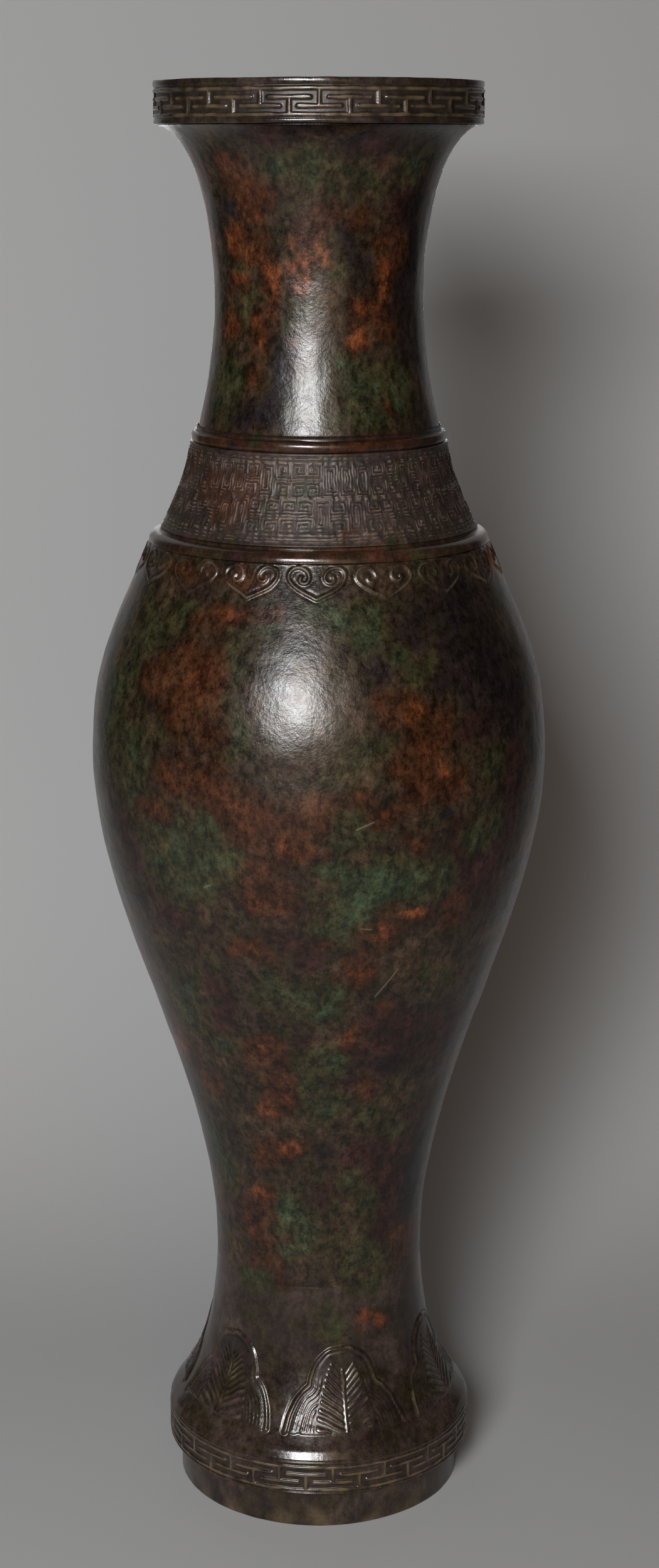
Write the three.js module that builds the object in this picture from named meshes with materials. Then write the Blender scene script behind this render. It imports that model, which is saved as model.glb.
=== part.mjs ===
// A cast bronze vase: waisted neck, diapered collar, swelling body and flaring foot.
// It is cast in sections. Each section drops a turned spigot into the one below,
// and a moulded hoop covers the two upper seams.
// Millimetres, +Z up, origin under the middle of the standing ring.
import * as THREE from 'three';

// Heights of the visible sections, from the standing face upwards
const FOOT_RING_HEIGHT = 12.9;
const FOOT_BAND_HEIGHT = 11.6;
const FLARE_HEIGHT = 52.5;
const STEM_HEIGHT = 169;
const SHOULDER_HEIGHT = 67;
const SHOULDER_RING_HEIGHT = 4.4;
const COLLAR_HEIGHT = 26.1;
const NECK_RING_HEIGHT = 5;
const NECK_LOWER_HEIGHT = 37.5;
const NECK_UPPER_HEIGHT = 51.2;
const MOUTH_RING_HEIGHT = 12.8;

// Outside radii that set the silhouette
const FOOT_BAND_RADIUS = 50;
const WAIST_RADIUS = 33.5;
const BELLY_RADIUS = 71.4;
const SHOULDER_SEAT_RADIUS = 47;
const NECK_SEAT_RADIUS = 37;
const THROAT_RADIUS = 31.9;

// Steps from one section to the next, the first from the collar's seat out to the lip of the neck
const LIP_OVER_SEAT = 1.4;
const MOUTH_OVERHANG = 1.1;
const COLLAR_TOP_LEDGE = 2.6;
const COLLAR_BASE_STEP = 2;
const SHOULDER_LEDGE = 5.8;
const FOOT_STEP = 3.7;

// Walls and joints
const WALL = 3.5;
const CLEARANCE = 0.3;
const MOUTH_SPIGOT = 6;
const NECK_SPIGOT = 8;
const COLLAR_SPIGOT = 5;
const BODY_SPIGOT = 8;
const FOOT_TONGUE = 5.1;
const PLATE_THICKNESS = 3;

// Mouldings
const NECK_RING_BULGE = 2.1;
const NECK_BEAD_HEIGHT = 3.4;
const NECK_BEAD_BULGE = 1;
const SHOULDER_FILLET = 0.8;
const EDGE = 0.6;
const STRIP_WIDTH = 2;
const FRET_DEPTH = 0.5;

// Facets round the axis, on a bead and on a strip, and how many outside points an inside point stands for
const SEGMENTS = 48;
const BEAD_STEPS = 6;
const STRIP_STEPS = 4;
const INSIDE_STRIDE = 2;

// How long each outline keeps its end directions, as shares of its own width and height
const FLARE_SHAPE = { leave: [0.75, 0.26], arrive: [0.11, 0.43], steps: 6 };
const STEM_SHAPE = { leave: [0, 0.39], arrive: [0, 0.32], steps: 9 };
const SHOULDER_SHAPE = { leave: [0, 0.44], arrive: [0.63, 0.42], steps: 6 };
const COLLAR_SHAPE = { leave: [0.71, 0.52], arrive: [0.2, 0.36], steps: 4 };
const NECK_LOWER_SHAPE = { leave: [0.44, 0.28], arrive: [0, 0.42], steps: 4 };
const NECK_UPPER_SHAPE = { leave: [0, 0.63], arrive: [0.52, 0.04], steps: 10 };
const OVOLO_SHAPE = { leave: [0, 0.6], arrive: [0.7, 0.1], steps: 4 };
const COVE_SHAPE = { leave: [0.7, 0], arrive: [0, 0.7], steps: 3 };
const FLARE_ROLL_HEIGHT = 4.3;
const FLARE_ROLL_WIDTH = 2.5;

// Levels of the seams and turning points
const footRingTop = FOOT_RING_HEIGHT;
const footBandTop = footRingTop + FOOT_BAND_HEIGHT;
const waist = footBandTop + FLARE_HEIGHT;
const belly = waist + STEM_HEIGHT;
const bodyTop = belly + SHOULDER_HEIGHT;
const collarBase = bodyTop + SHOULDER_RING_HEIGHT;
const collarTop = collarBase + COLLAR_HEIGHT;
const neckBase = collarTop + NECK_RING_HEIGHT;
const throat = neckBase + NECK_LOWER_HEIGHT;
const neckTop = throat + NECK_UPPER_HEIGHT;
const mouthTop = neckTop + MOUTH_RING_HEIGHT;
const collarSeam = (bodyTop + collarBase) / 2;
const neckSeam = (collarTop + neckBase) / 2;

// Each joint shares the wall between the socket outside and the spigot inside
const socketWall = (WALL - CLEARANCE) / 2;
const boreOf = (seat) => seat - socketWall;
const spigotOf = (seat) => boreOf(seat) - CLEARANCE;
const insideOf = (seat) => seat - WALL;

const collarTopRadius = NECK_SEAT_RADIUS + COLLAR_TOP_LEDGE;
const collarBaseRadius = SHOULDER_SEAT_RADIUS + COLLAR_BASE_STEP;
const bodyTopRadius = SHOULDER_SEAT_RADIUS + SHOULDER_LEDGE;
const neckLipRadius = SHOULDER_SEAT_RADIUS + LIP_OVER_SEAT;
const mouthRadius = neckLipRadius + MOUTH_OVERHANG;
const footRingRadius = FOOT_BAND_RADIUS - FOOT_STEP;
const tongueRadius = footRingRadius - socketWall - CLEARANCE;
const footBore = tongueRadius + CLEARANCE;
const footRingInside = footRingRadius - WALL - CLEARANCE;
const plateUnderside = footRingTop + FOOT_TONGUE;
const plateTop = plateUnderside + PLATE_THICKNESS;

const point = (radius, height) => new THREE.Vector2(radius, height);

// A smooth outline from start to end, which leaves and arrives in its own directions
function sweep(start, end, shape) {
  const span = end.clone().sub(start);
  const leave = point(span.x * shape.leave[0], span.y * shape.leave[1]).add(start);
  const arrive = end.clone().sub(point(span.x * shape.arrive[0], span.y * shape.arrive[1]));
  return new THREE.CubicBezierCurve(start, leave, arrive, end).getPoints(shape.steps);
}

// The inside of a wall whose outside runs upwards through these points
function inset(outside, wall) {
  const moved = outside.map((here, i) => {
    const below = outside[Math.max(i - 1, 0)];
    const above = outside[Math.min(i + 1, outside.length - 1)];
    const along = above.clone().sub(below).normalize();
    return point(here.x - along.y * wall, here.y + along.x * wall);
  });
  return moved.filter((_, i) => i % INSIDE_STRIDE === 0);
}

// The stretch of an upward path between two levels, turned to run downwards
function downwards(path, low, high) {
  return path.filter((p) => p.y > low && p.y < high).reverse();
}

// A rounded moulding from one level up to the next, standing out by its bulge
function bead(radius, low, high, bulge, steps) {
  const points = [];
  for (let i = 0; i <= steps; i += 1) {
    const turn = (Math.PI * i) / steps;
    const level = (low + high) / 2 - (Math.cos(turn) * (high - low)) / 2;
    points.push(point(radius + bulge * Math.sin(turn), level));
  }
  return points;
}

// The lower end of a section: a spigot under the seam, met from the inside
function spigotEnd(seat, seam, length) {
  return [
    point(insideOf(seat), seam - length),
    point(spigotOf(seat), seam - length),
    point(spigotOf(seat), seam),
    point(seat, seam),
  ];
}

// The upper end of a section: a socket for the spigot above, met from the outside
function socketEnd(seat, seam, length) {
  return [
    point(seat, seam),
    point(boreOf(seat), seam),
    point(boreOf(seat), seam - length - CLEARANCE),
  ];
}

// A band whose field for the fret lies back between two rounded strips
function fretBand(radius, low, high) {
  const field = radius - FRET_DEPTH;
  return [
    ...bead(field, low, low + STRIP_WIDTH, FRET_DEPTH, STRIP_STEPS),
    ...bead(field, high - STRIP_WIDTH, high, FRET_DEPTH, STRIP_STEPS),
  ];
}

function mouthRing() {
  const inside = insideOf(neckLipRadius);
  const bore = boreOf(neckLipRadius);
  const boreTop = neckTop + MOUTH_SPIGOT + CLEARANCE;
  return [
    ...fretBand(mouthRadius, neckTop, mouthTop),
    point(inside + EDGE, mouthTop),
    point(inside, mouthTop - EDGE),
    point(inside, boreTop),
    point(bore, boreTop),
    point(bore, neckTop),
  ];
}

function neck() {
  const lower = sweep(point(NECK_SEAT_RADIUS, neckBase), point(THROAT_RADIUS, throat), NECK_LOWER_SHAPE);
  const upper = sweep(point(THROAT_RADIUS, throat), point(neckLipRadius, neckTop), NECK_UPPER_SHAPE);
  const outside = [...lower, ...upper.slice(1)];
  const lipSpigot = spigotOf(neckLipRadius);
  return [
    ...spigotEnd(NECK_SEAT_RADIUS, neckSeam, NECK_SPIGOT),
    ...outside,
    point(lipSpigot, neckTop),
    point(lipSpigot, neckTop + MOUTH_SPIGOT),
    point(insideOf(neckLipRadius), neckTop + MOUTH_SPIGOT),
    ...downwards(inset(outside, WALL), neckBase, neckTop),
  ];
}

// A round hoop with a hollow above it that runs up into the neck
function neckRing() {
  const inner = NECK_SEAT_RADIUS + CLEARANCE;
  const beadRoot = inner + NECK_RING_BULGE - NECK_BEAD_BULGE;
  const beadTop = collarTop + NECK_BEAD_HEIGHT;
  const hollowFoot = point(beadRoot, beadTop);
  const hollowTop = point(inner + CLEARANCE, neckBase);
  return [
    point(inner, collarTop),
    ...bead(beadRoot, collarTop, beadTop, NECK_BEAD_BULGE, BEAD_STEPS),
    ...sweep(hollowFoot, hollowTop, COVE_SHAPE).slice(1),
    point(inner, neckBase),
  ];
}

function collar() {
  const outside = sweep(point(collarBaseRadius, collarBase), point(collarTopRadius, collarTop), COLLAR_SHAPE);
  const socketFloor = neckSeam - NECK_SPIGOT - CLEARANCE;
  return [
    ...spigotEnd(SHOULDER_SEAT_RADIUS, collarSeam, COLLAR_SPIGOT),
    point(SHOULDER_SEAT_RADIUS, collarBase),
    ...outside,
    point(NECK_SEAT_RADIUS, collarTop),
    ...socketEnd(NECK_SEAT_RADIUS, neckSeam, NECK_SPIGOT),
    ...downwards(inset(outside, WALL), collarBase + WALL, socketFloor),
    point(insideOf(SHOULDER_SEAT_RADIUS), collarBase),
  ];
}

// A quarter-round that climbs from the shoulder to a small fillet under the collar
function shoulderRing() {
  const inner = SHOULDER_SEAT_RADIUS + CLEARANCE;
  const fillet = point(collarBaseRadius + CLEARANCE, collarBase - SHOULDER_FILLET);
  return [
    point(inner, bodyTop),
    ...sweep(point(bodyTopRadius, bodyTop), fillet, OVOLO_SHAPE),
    point(fillet.x, collarBase),
    point(inner, collarBase),
  ];
}

function body() {
  const stem = sweep(point(WAIST_RADIUS, waist), point(BELLY_RADIUS, belly), STEM_SHAPE);
  const shoulder = sweep(point(BELLY_RADIUS, belly), point(bodyTopRadius, bodyTop), SHOULDER_SHAPE);
  const outside = [...stem, ...shoulder.slice(1)];
  const socketFloor = collarSeam - COLLAR_SPIGOT - CLEARANCE;
  return [
    ...spigotEnd(WAIST_RADIUS, waist, BODY_SPIGOT),
    ...outside,
    point(SHOULDER_SEAT_RADIUS, bodyTop),
    ...socketEnd(SHOULDER_SEAT_RADIUS, collarSeam, COLLAR_SPIGOT),
    ...downwards(inset(outside, WALL), waist, socketFloor),
  ];
}

function foot() {
  const rollRadius = FOOT_BAND_RADIUS - FLARE_ROLL_WIDTH;
  const rollTop = footBandTop + FLARE_ROLL_HEIGHT;
  const chamferRadius = FOOT_BAND_RADIUS - FLARE_ROLL_WIDTH / 2;
  const chamferTop = footBandTop + (FLARE_ROLL_HEIGHT * 2) / 3;
  const flare = sweep(point(rollRadius, rollTop), point(WAIST_RADIUS, waist), FLARE_SHAPE);
  const socketFloor = waist - BODY_SPIGOT - CLEARANCE;
  return [
    point(footBore, footRingTop),
    ...fretBand(FOOT_BAND_RADIUS, footRingTop, footBandTop),
    point(FOOT_BAND_RADIUS, footBandTop + EDGE),
    point(chamferRadius, chamferTop),
    ...flare.slice(0, -1),
    ...socketEnd(WAIST_RADIUS, waist, BODY_SPIGOT),
    ...downwards(inset(flare, WALL), rollTop, socketFloor),
    point(footBore, plateTop + CLEARANCE),
  ];
}

function footRing() {
  return [
    point(footRingInside + EDGE, 0),
    point(footRingRadius - EDGE, 0),
    point(footRingRadius, EDGE),
    point(footRingRadius, footRingTop),
    point(tongueRadius, footRingTop),
    point(tongueRadius, plateUnderside),
    point(footRingInside, plateUnderside),
    point(footRingInside, EDGE),
  ];
}

function basePlate() {
  return [
    point(0, plateUnderside),
    point(tongueRadius, plateUnderside),
    point(tongueRadius, plateTop),
    point(0, plateTop),
  ];
}

// A closed section turned about the vertical axis
function turned(section) {
  const closed = section[0].x > 0 ? [...section, section[0]] : section;
  return new THREE.LatheGeometry(closed, SEGMENTS).rotateX(Math.PI / 2);
}

function bronze(color, roughness) {
  return new THREE.MeshStandardMaterial({ color, roughness, metalness: 0.85 });
}

const PATINATED = [0x4a3b2c, 0.42];
const DIAPERED = [0x4f4438, 0.5];
const FRETTED = [0x3d2e22, 0.45];
const WORN = [0x5e3a28, 0.38];
const UNSEEN = [0x3a332b, 0.6];

const SECTIONS = [
  ['mouth_ring', mouthRing, FRETTED],
  ['neck', neck, PATINATED],
  ['neck_ring', neckRing, WORN],
  ['collar', collar, DIAPERED],
  ['shoulder_ring', shoulderRing, WORN],
  ['body', body, PATINATED],
  ['foot', foot, FRETTED],
  ['foot_ring', footRing, FRETTED],
  ['base_plate', basePlate, UNSEEN],
];

const vase = new THREE.Group();
for (const [name, section, finish] of SECTIONS) {
  const mesh = new THREE.Mesh(turned(section()), bronze(...finish));
  mesh.name = name;
  vase.add(mesh);
}

export default vase;
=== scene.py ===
"""A tall cast bronze vase with fret, diaper, ruyi and lappet bands in low relief.

Every section is a turned wall whose ornament is real relief, under a mottled brown,
green and russet patina that is rubbed light on the raised lines.
"""
import math

import bpy
import numpy as np
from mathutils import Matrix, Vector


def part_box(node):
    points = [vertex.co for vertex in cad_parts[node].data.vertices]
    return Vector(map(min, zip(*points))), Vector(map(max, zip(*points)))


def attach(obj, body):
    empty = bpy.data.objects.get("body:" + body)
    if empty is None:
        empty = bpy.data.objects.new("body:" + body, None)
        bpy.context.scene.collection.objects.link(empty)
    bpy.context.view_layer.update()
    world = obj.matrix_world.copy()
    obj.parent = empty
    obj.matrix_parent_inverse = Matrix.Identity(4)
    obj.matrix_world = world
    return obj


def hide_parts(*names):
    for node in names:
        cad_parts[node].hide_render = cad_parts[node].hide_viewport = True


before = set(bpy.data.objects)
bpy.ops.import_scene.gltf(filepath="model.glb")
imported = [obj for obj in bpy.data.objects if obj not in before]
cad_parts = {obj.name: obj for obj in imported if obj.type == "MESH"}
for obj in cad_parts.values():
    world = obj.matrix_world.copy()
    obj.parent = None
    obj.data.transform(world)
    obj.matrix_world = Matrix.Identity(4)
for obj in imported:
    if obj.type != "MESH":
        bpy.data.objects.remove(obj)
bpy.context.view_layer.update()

MM = 0.001


def level(node, end):
    """Height in mm of the lower (0) or upper (1) end of a section."""
    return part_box(node)[end].z / MM


def reach(node):
    """Largest radius in mm of a section."""
    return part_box(node)[1].x / MM


# Heights, radii and steps of the outline between the ends of the sections
STEM_HEIGHT = 169
NECK_LOWER_HEIGHT = 37.5
FOOT_BAND_HEIGHT = 11.6
CHAMFER_HEIGHT = 2.9
ROLL_HEIGHT = 4.3
ROLL_WIDTH = 2.5
WAIST_RADIUS = 33.5
THROAT_RADIUS = 31.9
NECK_SEAT = 37
COLLAR_BASE_STEP = 2
COLLAR_TOP_LEDGE = 2.6

# Levels and radii of the sections
FOOT_RING_TOP = level("foot", 0)
WAIST = level("foot", 1)
BODY_TOP = level("shoulder_ring", 0)
COLLAR_BASE = level("shoulder_ring", 1)
COLLAR_TOP = level("neck_ring", 0)
NECK_BASE = level("neck_ring", 1)
NECK_TOP = level("mouth_ring", 0)
MOUTH_TOP = level("mouth_ring", 1)
FOOT_RADIUS = reach("foot")
FOOT_RING_RADIUS = reach("foot_ring")
BELLY_RADIUS = reach("body")
BODY_TOP_RADIUS = reach("shoulder_ring")
COLLAR_BASE_RADIUS = reach("collar")
NECK_LIP_RADIUS = reach("neck")
MOUTH_RADIUS = reach("mouth_ring")
BELLY = WAIST + STEM_HEIGHT
THROAT = NECK_BASE + NECK_LOWER_HEIGHT
FOOT_BAND_TOP = FOOT_RING_TOP + FOOT_BAND_HEIGHT
CHAMFER_TOP = FOOT_BAND_TOP + CHAMFER_HEIGHT
ROLL_TOP = FOOT_BAND_TOP + ROLL_HEIGHT
CHAMFER_RADIUS = FOOT_RADIUS - ROLL_WIDTH / 2
ROLL_RADIUS = FOOT_RADIUS - ROLL_WIDTH
SHOULDER_SEAT = COLLAR_BASE_RADIUS - COLLAR_BASE_STEP
COLLAR_TOP_RADIUS = NECK_SEAT + COLLAR_TOP_LEDGE

# Walls and joints between the sections
WALL = 3.5
CLEARANCE = 0.3
SOCKET_WALL = (WALL - CLEARANCE) / 2
COLLAR_SEAM = (BODY_TOP + COLLAR_BASE) / 2
NECK_SEAM = (COLLAR_TOP + NECK_BASE) / 2
MOUTH_SPIGOT = 6
NECK_SPIGOT = 8
COLLAR_SPIGOT = 5
BODY_SPIGOT = 8

# Mouldings of the two hoops
NECK_BEAD_HEIGHT = 3.4
NECK_BEAD_BULGE = 1.0
SHOULDER_LIP = 0.3
SHOULDER_SHELF = 0.8

# Repeats of the bands round the axis, and the bearing of one of them in degrees,
# counted from the front to the right
FRETS = 18
MOUTH_FRET_BEARING = -9.8
FOOT_FRET_BEARING = -4.8
RUYI_HEADS = 17
RUYI_BEARING = -0.5
LAPPETS = 6
LAPPET_BEARING = 11.9
DIAPER_CELLS = 54
DIAPER_BEARING = 1.5

# Relief depths
FRET_DEPTH = 0.42
DIAPER_DEPTH = 0.32
RUYI_DEPTH = 0.34
LAPPET_PANEL = 0.25
LAPPET_DEPTH = 0.26

# Plain strips under and over each fret, how far its border lines lie from the ends of its band,
# and half the length of its bars in degrees
MOUTH_STRIPS = (1.75, 2.2)
MOUTH_BORDERS = (2.45, 3.2)
FOOT_STRIPS = (1.05, 1.4)
FOOT_BORDERS = (1.75, 2.1)
FRET_BAR = 7

# The other bands: how far the diaper lies from the ends of the collar, how far the ruyi heads hang down,
# and where the lappets start above the roll and how high they reach
DIAPER_MARGINS = (3.4, 2.4)
RUYI_BAND = 12.5
LAPPET_BASE = 3
LAPPET_BAND = 27

# Points round the axis on the plainest walls. Finer rows have a whole number of times as many.
TURN = 180
BODY_TURN = 12 * RUYI_HEADS

# Stage in metres: how far the sheets reach, where the backdrop stands behind the axis, the length of
# the bend at its foot, and how far from the axis each sheet starts to fade
FLOOR_REACH = 3
BACKDROP_REACH = 1.5
WALL_BACK = 0.32
BEND = 0.44
FLOOR_FADE = 0.9
BACKDROP_FADE = 0.21

# Shade of the sheets, and of the floor in front, which darkens between two places along Y in metres
SHEET_SHADE = 0.4
FRONT_SHADE = 0.16
FRONT_START = -0.2
FRONT_FULL = -0.5

# Lamps: their distance from a point on the axis and the level of that point in metres,
# and how they are turned in degrees
LAMP_DISTANCE = 1.3
LAMP_LEVEL = 0.26
LAMP_TILT = 50
LAMP_TURN = 40

# Camera: its distance and height in metres, and how many degrees it looks down
EYE_DISTANCE = 0.795
EYE_HEIGHT = 0.4295
EYE_PITCH = 13.78


def smooth(low, high, value):
    """0 below low, 1 above high, with a soft step between."""
    t = np.clip((value - low) / (high - low), 0, 1)
    return t * t * (3 - 2 * t)


def grain(phi, z, seed, size, waves=20):
    """Seeded unevenness of about -1 to 1, with lumps of a size in mm, that closes round the axis."""
    rng = np.random.default_rng(seed)
    total = np.zeros(np.broadcast(phi, z).shape)
    for _ in range(waves):
        heading = rng.uniform(0, 2 * math.pi)
        pace = 2 * math.pi / size * rng.uniform(0.5, 1.5)
        turns = round(pace * math.cos(heading) * 50)
        total += np.cos(turns * phi + pace * math.sin(heading) * z + rng.uniform(0, 2 * math.pi))
    return total / math.sqrt(waves)


def wrapped(phi, bearing, repeats):
    """Angle from the middle of the nearest repeat, and which repeat that is."""
    pitch = 2 * math.pi / repeats
    turn = (phi - math.radians(bearing)) / pitch
    which = np.round(turn)
    return (turn - which) * pitch, which.astype(int) % repeats


def to_segment(x, y, ax, ay, bx, by):
    """Distance from points to a straight stroke."""
    dx, dy = bx - ax, by - ay
    t = np.clip(((x - ax) * dx + (y - ay) * dy) / (dx * dx + dy * dy), 0, 1)
    return np.hypot(x - ax - t * dx, y - ay - t * dy)


def to_strokes(x, y, points):
    """Distance from points to a chain of straight strokes."""
    gap = np.full(np.broadcast(x, y).shape, 1e3)
    for (ax, ay), (bx, by) in zip(points, points[1:]):
        gap = np.minimum(gap, to_segment(x, y, ax, ay, bx, by))
    return gap


def ridge(gap, width, edge=0.14):
    """Height from 0 to 1 of a raised line, from the distance to its middle."""
    return 1 - smooth(width / 2 - edge, width / 2 + edge, gap)


def spline(points, steps):
    """A smooth line through points."""
    p = np.array(points, float)
    p = np.vstack([2 * p[0] - p[1], p, 2 * p[-1] - p[-2]])
    made = [p[1]]
    for a, b, c, d in zip(p, p[1:], p[2:], p[3:]):
        for t in np.linspace(0, 1, steps + 1)[1:]:
            curve = 2 * b + (c - a) * t + (2 * a - 5 * b + 4 * c - d) * t**2
            made.append(0.5 * (curve + (3 * b - a - 3 * c + d) * t**3))
    return np.array(made)


def uneven(phi, z):
    """The slightly lumpy skin of a casting, always inside the turned form and true to it at the waist."""
    lumps = 0.07 * grain(phi, z, 11, 26) + 0.035 * grain(phi, z, 12, 11) - 0.17
    return lumps * smooth(0, 14, abs(z - WAIST))


# A relief takes bearings, heights and radii. It gives how far the skin stands out in mm and how raised
# it is: 0.5 is plain, below 0.45 it is darkened with dirt and painted shade, and above 0.55 it is rubbed.


def plain(phi, z, radius):
    """Bare skin, neither raised nor sunk."""
    return uneven(phi, z), np.full(phi.shape, 0.5)


def crested(crest):
    """A moulding with a plain crest up to a level, and painted shade in the hollow above it."""
    def relief(phi, z, radius):
        return uneven(phi, z), 0.55 - 0.5 * smooth(crest - 0.3, crest + 0.3, z)

    return relief


def rubbed(phi, z, radius):
    """Skin that handling has rubbed here and there."""
    return uneven(phi, z), np.clip(0.6 + 0.12 * grain(phi, z, 13, 14), 0.5, 1)


def fret(bearing, low, high):
    """Two rows of interlocking T strokes between border lines, on a sunk ground."""
    step = (high - low) / 3
    bar = math.radians(FRET_BAR)

    def relief(phi, z, radius):
        z = z + 0.07 * grain(phi, z, 21, 7)
        phi = phi + 0.07 * grain(phi, z, 22, 7) / radius
        rising, _ = wrapped(phi, bearing, FRETS)
        falling, _ = wrapped(phi, bearing + 180 / FRETS, FRETS)
        up, down, half = rising * radius, falling * radius, bar * radius
        gap = np.minimum(abs(z - low), abs(z - high))
        gap = np.minimum(gap, to_segment(up, z, 0, low, 0, high - step))
        gap = np.minimum(gap, to_segment(up, z, -half, high - step, half, high - step))
        gap = np.minimum(gap, to_segment(down, z, 0, high, 0, low + step))
        gap = np.minimum(gap, to_segment(down, z, -half, low + step, half, low + step))
        width = 1.1 + 0.12 * grain(phi, z, 23, 9)
        lines = ridge(gap, width, 0.28)
        rubbing = np.clip(0.82 + 0.14 * grain(phi, z, 24, 6), 0.5, 1)
        # The ground between the strokes is left low, so it is darkened with dirt and painted shade
        return FRET_DEPTH * (lines - 0.1), lines * rubbing

    return relief


def spiral(wide, tall, pitch):
    """A squared spiral of half a width and height, from a corner to the middle."""
    points = [(-wide, -tall)]
    while wide > 0.4 * pitch:
        points += [(wide, -tall), (wide, tall), (-wide, tall), (-wide, pitch - tall)]
        wide, tall = wide - pitch, tall - pitch
    return points


def diaper(low, high):
    """Two rows of squared spirals, some tall and some in pairs, between fine border lines."""
    pitch = 0.98
    tall = (high - low) / 2
    wide = 5.6
    long = spiral(wide / 2 - 0.4, tall / 2 - 0.6, pitch)
    short = spiral(wide / 2 - 0.4, tall / 4 - 0.4, pitch)
    borders = [low - 2 * pitch, low - pitch, low, (low + high) / 2, high, high + pitch]
    turns = np.random.default_rng(34).integers(0, 2, (3, 2, DIAPER_CELLS)).astype(bool)

    def relief(phi, z, radius):
        flat = z
        z = z + 0.1 * grain(phi, z, 31, 5)
        phi = phi + 0.13 * grain(phi, z, 32, 5) / radius
        row = (z > low + tall).astype(int)
        angle, cell = wrapped(phi - np.radians(180 / DIAPER_CELLS * row), DIAPER_BEARING, DIAPER_CELLS)
        mirror, upend, pair = turns[:, row, cell]
        x = angle * DIAPER_CELLS / (2 * math.pi) * wide
        y = z - low - (row + 0.5) * tall
        x, y = np.where(mirror, -x, x), np.where(upend, -y, y)
        gap = np.where(pair, to_strokes(x, abs(y) - tall / 4, short), to_strokes(x, y, long))
        for border in borders:
            gap = np.minimum(gap, abs(z - border))
        wear = np.clip(0.7 + 0.4 * grain(phi, 0.4 * z, 33, 2.5), 0.15, 1)
        lines = ridge(gap, 0.54, 0.2) * wear
        edge = 1 - smooth(borders[0] - 0.6, borders[0] - 0.4, flat) + smooth(high + 1.5, high + 1.7, flat)
        raised = np.maximum(lines, edge)
        # The ground between the lines is left low, so it is darkened with dirt and painted shade; the
        # plain edges stay plain
        return DIAPER_DEPTH * (raised - 1) + 0.4 * uneven(phi, z), np.where(edge > 0.5, 0.5, lines)

    return relief


# Half of a ruyi head: degrees from its axis and mm under the top of the body, from the tip to the curl
RUYI_LINE = spline([
    (0, -9.6), (1.6, -8.8), (4.4, -7.5), (7.0, -6.0), (8.7, -4.0), (8.6, -2.3), (7.1, -1.1), (5.0, -0.9),
    (3.2, -1.8), (2.4, -3.3), (2.9, -4.7), (4.3, -5.1), (5.3, -4.3), (5.0, -3.3),
], 4)


def ruyi(phi, z, radius):
    """A row of ruyi heads hanging from the top edge of the body."""
    z = z + 0.12 * grain(phi, z, 41, 9)
    phi = phi + 0.12 * grain(phi, z, 42, 9) / radius
    angle, _ = wrapped(phi, RUYI_BEARING, RUYI_HEADS)
    scale = radius.mean() * math.pi / 180
    strokes = RUYI_LINE * (scale, 1)
    gap = to_strokes(abs(angle) * scale * 180 / math.pi, z - BODY_TOP, strokes)
    fade = smooth(BODY_TOP - (RUYI_BAND - 0.5), BODY_TOP - (RUYI_BAND - 2), z)
    lines = ridge(gap, 0.75, 0.26)
    # A sunk hollow beside each line, which is also darkened with dirt and painted shade
    hollow = 0.35 * np.exp(-((gap - 0.9) / 0.4) ** 2)
    wear = np.clip(0.22 + 0.25 * grain(phi, z, 43, 12), 0, 0.5)
    return RUYI_DEPTH * (lines - hollow) * fade + uneven(phi, z), 0.5 + wear * lines - 0.35 * hollow


# Half of a lappet's edge: degrees from its axis and mm above its base, from the base to the crown
LAPPET_EDGE = spline([
    (26, 0), (25.2, 4), (23, 8.4), (20, 11.4), (16.6, 13.4), (16, 15.6),
    (14.2, 19.4), (10, 23), (5, 24.7), (0, 25.3),
], 4)


def lappets(base):
    """Six raised lappets with a beaded edge, a stem, slanting veins and strokes along the lower edge."""

    def relief(phi, z, radius):
        z = z + 0.12 * grain(phi, z, 51, 7)
        phi = phi + 0.12 * grain(phi, z, 52, 7) / radius
        angle, _ = wrapped(phi, LAPPET_BEARING, LAPPETS)
        across = abs(np.degrees(angle))
        up = z - base
        mean = 0.7
        edge = to_strokes(across * mean, up, LAPPET_EDGE * (mean, 1))
        order = np.argsort(LAPPET_EDGE[:, 1])
        limit = np.interp(up, LAPPET_EDGE[order, 1], LAPPET_EDGE[order, 0])
        inside = (across < limit) & (up > 0) & (up < LAPPET_EDGE[:, 1].max())
        depth = np.where(inside, edge, -edge)
        bead = ridge(edge, 0.95, 0.3)
        groove = np.exp(-((edge - 1.0) / 0.32) ** 2)
        panel = smooth(-0.3, 0.3, depth)
        u = abs(angle) * radius
        stem = ridge(u, 0.8, 0.25) * (1 - smooth(18, 19, up))
        root = (up - 0.45 * u) / (1 + 0.052 * u)
        vein = smooth(0.2, 0.8, 0.5 + 0.5 * np.cos(2 * math.pi * root / 1.9))
        tips = 9.5 - 0.36 * root
        vein *= smooth(0.6, 1.1, u) * (1 - smooth(tips - 0.5, tips, u)) * (1 - smooth(15.5, 17, root))
        along = 0.85 * smooth(0.2, 0.8, 0.5 + 0.5 * np.cos(2 * math.pi * (depth - 1.2) / 1.15))
        along *= smooth(tips + 0.2, tips + 0.7, u) * (1 - smooth(13, 17, up))
        along *= smooth(-1.6, 0.2, grain(phi, z, 54, 5))
        field = smooth(1.1, 1.6, depth) * smooth(0.3, 0.8, up)
        strokes = np.maximum(np.maximum(vein, along) * field, stem * panel)
        worn = np.clip(0.14 + 0.2 * grain(phi, z, 53, 9), 0, 0.4)
        height = LAPPET_PANEL * panel + LAPPET_DEPTH * np.maximum(bead, strokes) - 0.25 * groove
        # The sunk ground inside the panel and the groove round the bead are darkened with dirt and painted
        # shade
        ground = np.where(inside & (depth > 1.1), 0.22, 0.5 - 0.3 * groove)
        raised = np.maximum(ground, np.maximum(bead, strokes) * (0.5 + worn))
        return height + uneven(phi, z), raised

    return relief


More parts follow.
